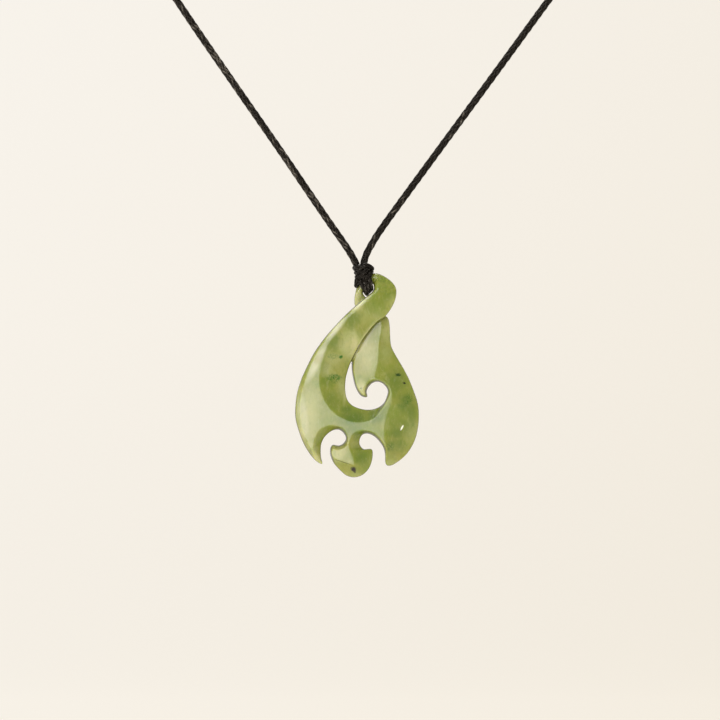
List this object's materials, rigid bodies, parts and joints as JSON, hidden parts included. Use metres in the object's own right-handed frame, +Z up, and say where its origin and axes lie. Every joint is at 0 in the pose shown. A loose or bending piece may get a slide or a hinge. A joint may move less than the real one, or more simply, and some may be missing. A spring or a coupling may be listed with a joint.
{
  "type": "hook pendant necklace",
  "caption": "Carved green stone hook pendant in the hei matau form, hung on a closed loop of black braided cord with a plain closure at the nape.",
  "frame": {"origin": "the middle of the underside of the closure, where the necklace lies on the nape of the neck", "axes": "+Z up, -Y the front of the pendant, +X to the right seen from the front"},
  "size_m": [0.1264, 0.0066, 0.2254],
  "materials": {
    "green_stone": "polished, slightly translucent nephrite with paler flat faces",
    "braided_cord": "black-brown waxed round braid",
    "wrapped_thread": "black wrapped thread"
  },
  "bodies": {
    "necklace": {"pendant_knot": "braided_cord", "cord_left": "braided_cord", "cord_right": "braided_cord", "back_closure": "wrapped_thread"},
    "pendant": {"hook": "green_stone"}
  },
  "joints": [
    {"name": "pendant_swing", "type": "hinge", "parent": "necklace", "child": "pendant", "pos_m": [0.0011, -0.00005, -0.1741], "axis": [1, 0, 0], "range_deg": [-20, 20]}
  ]
}
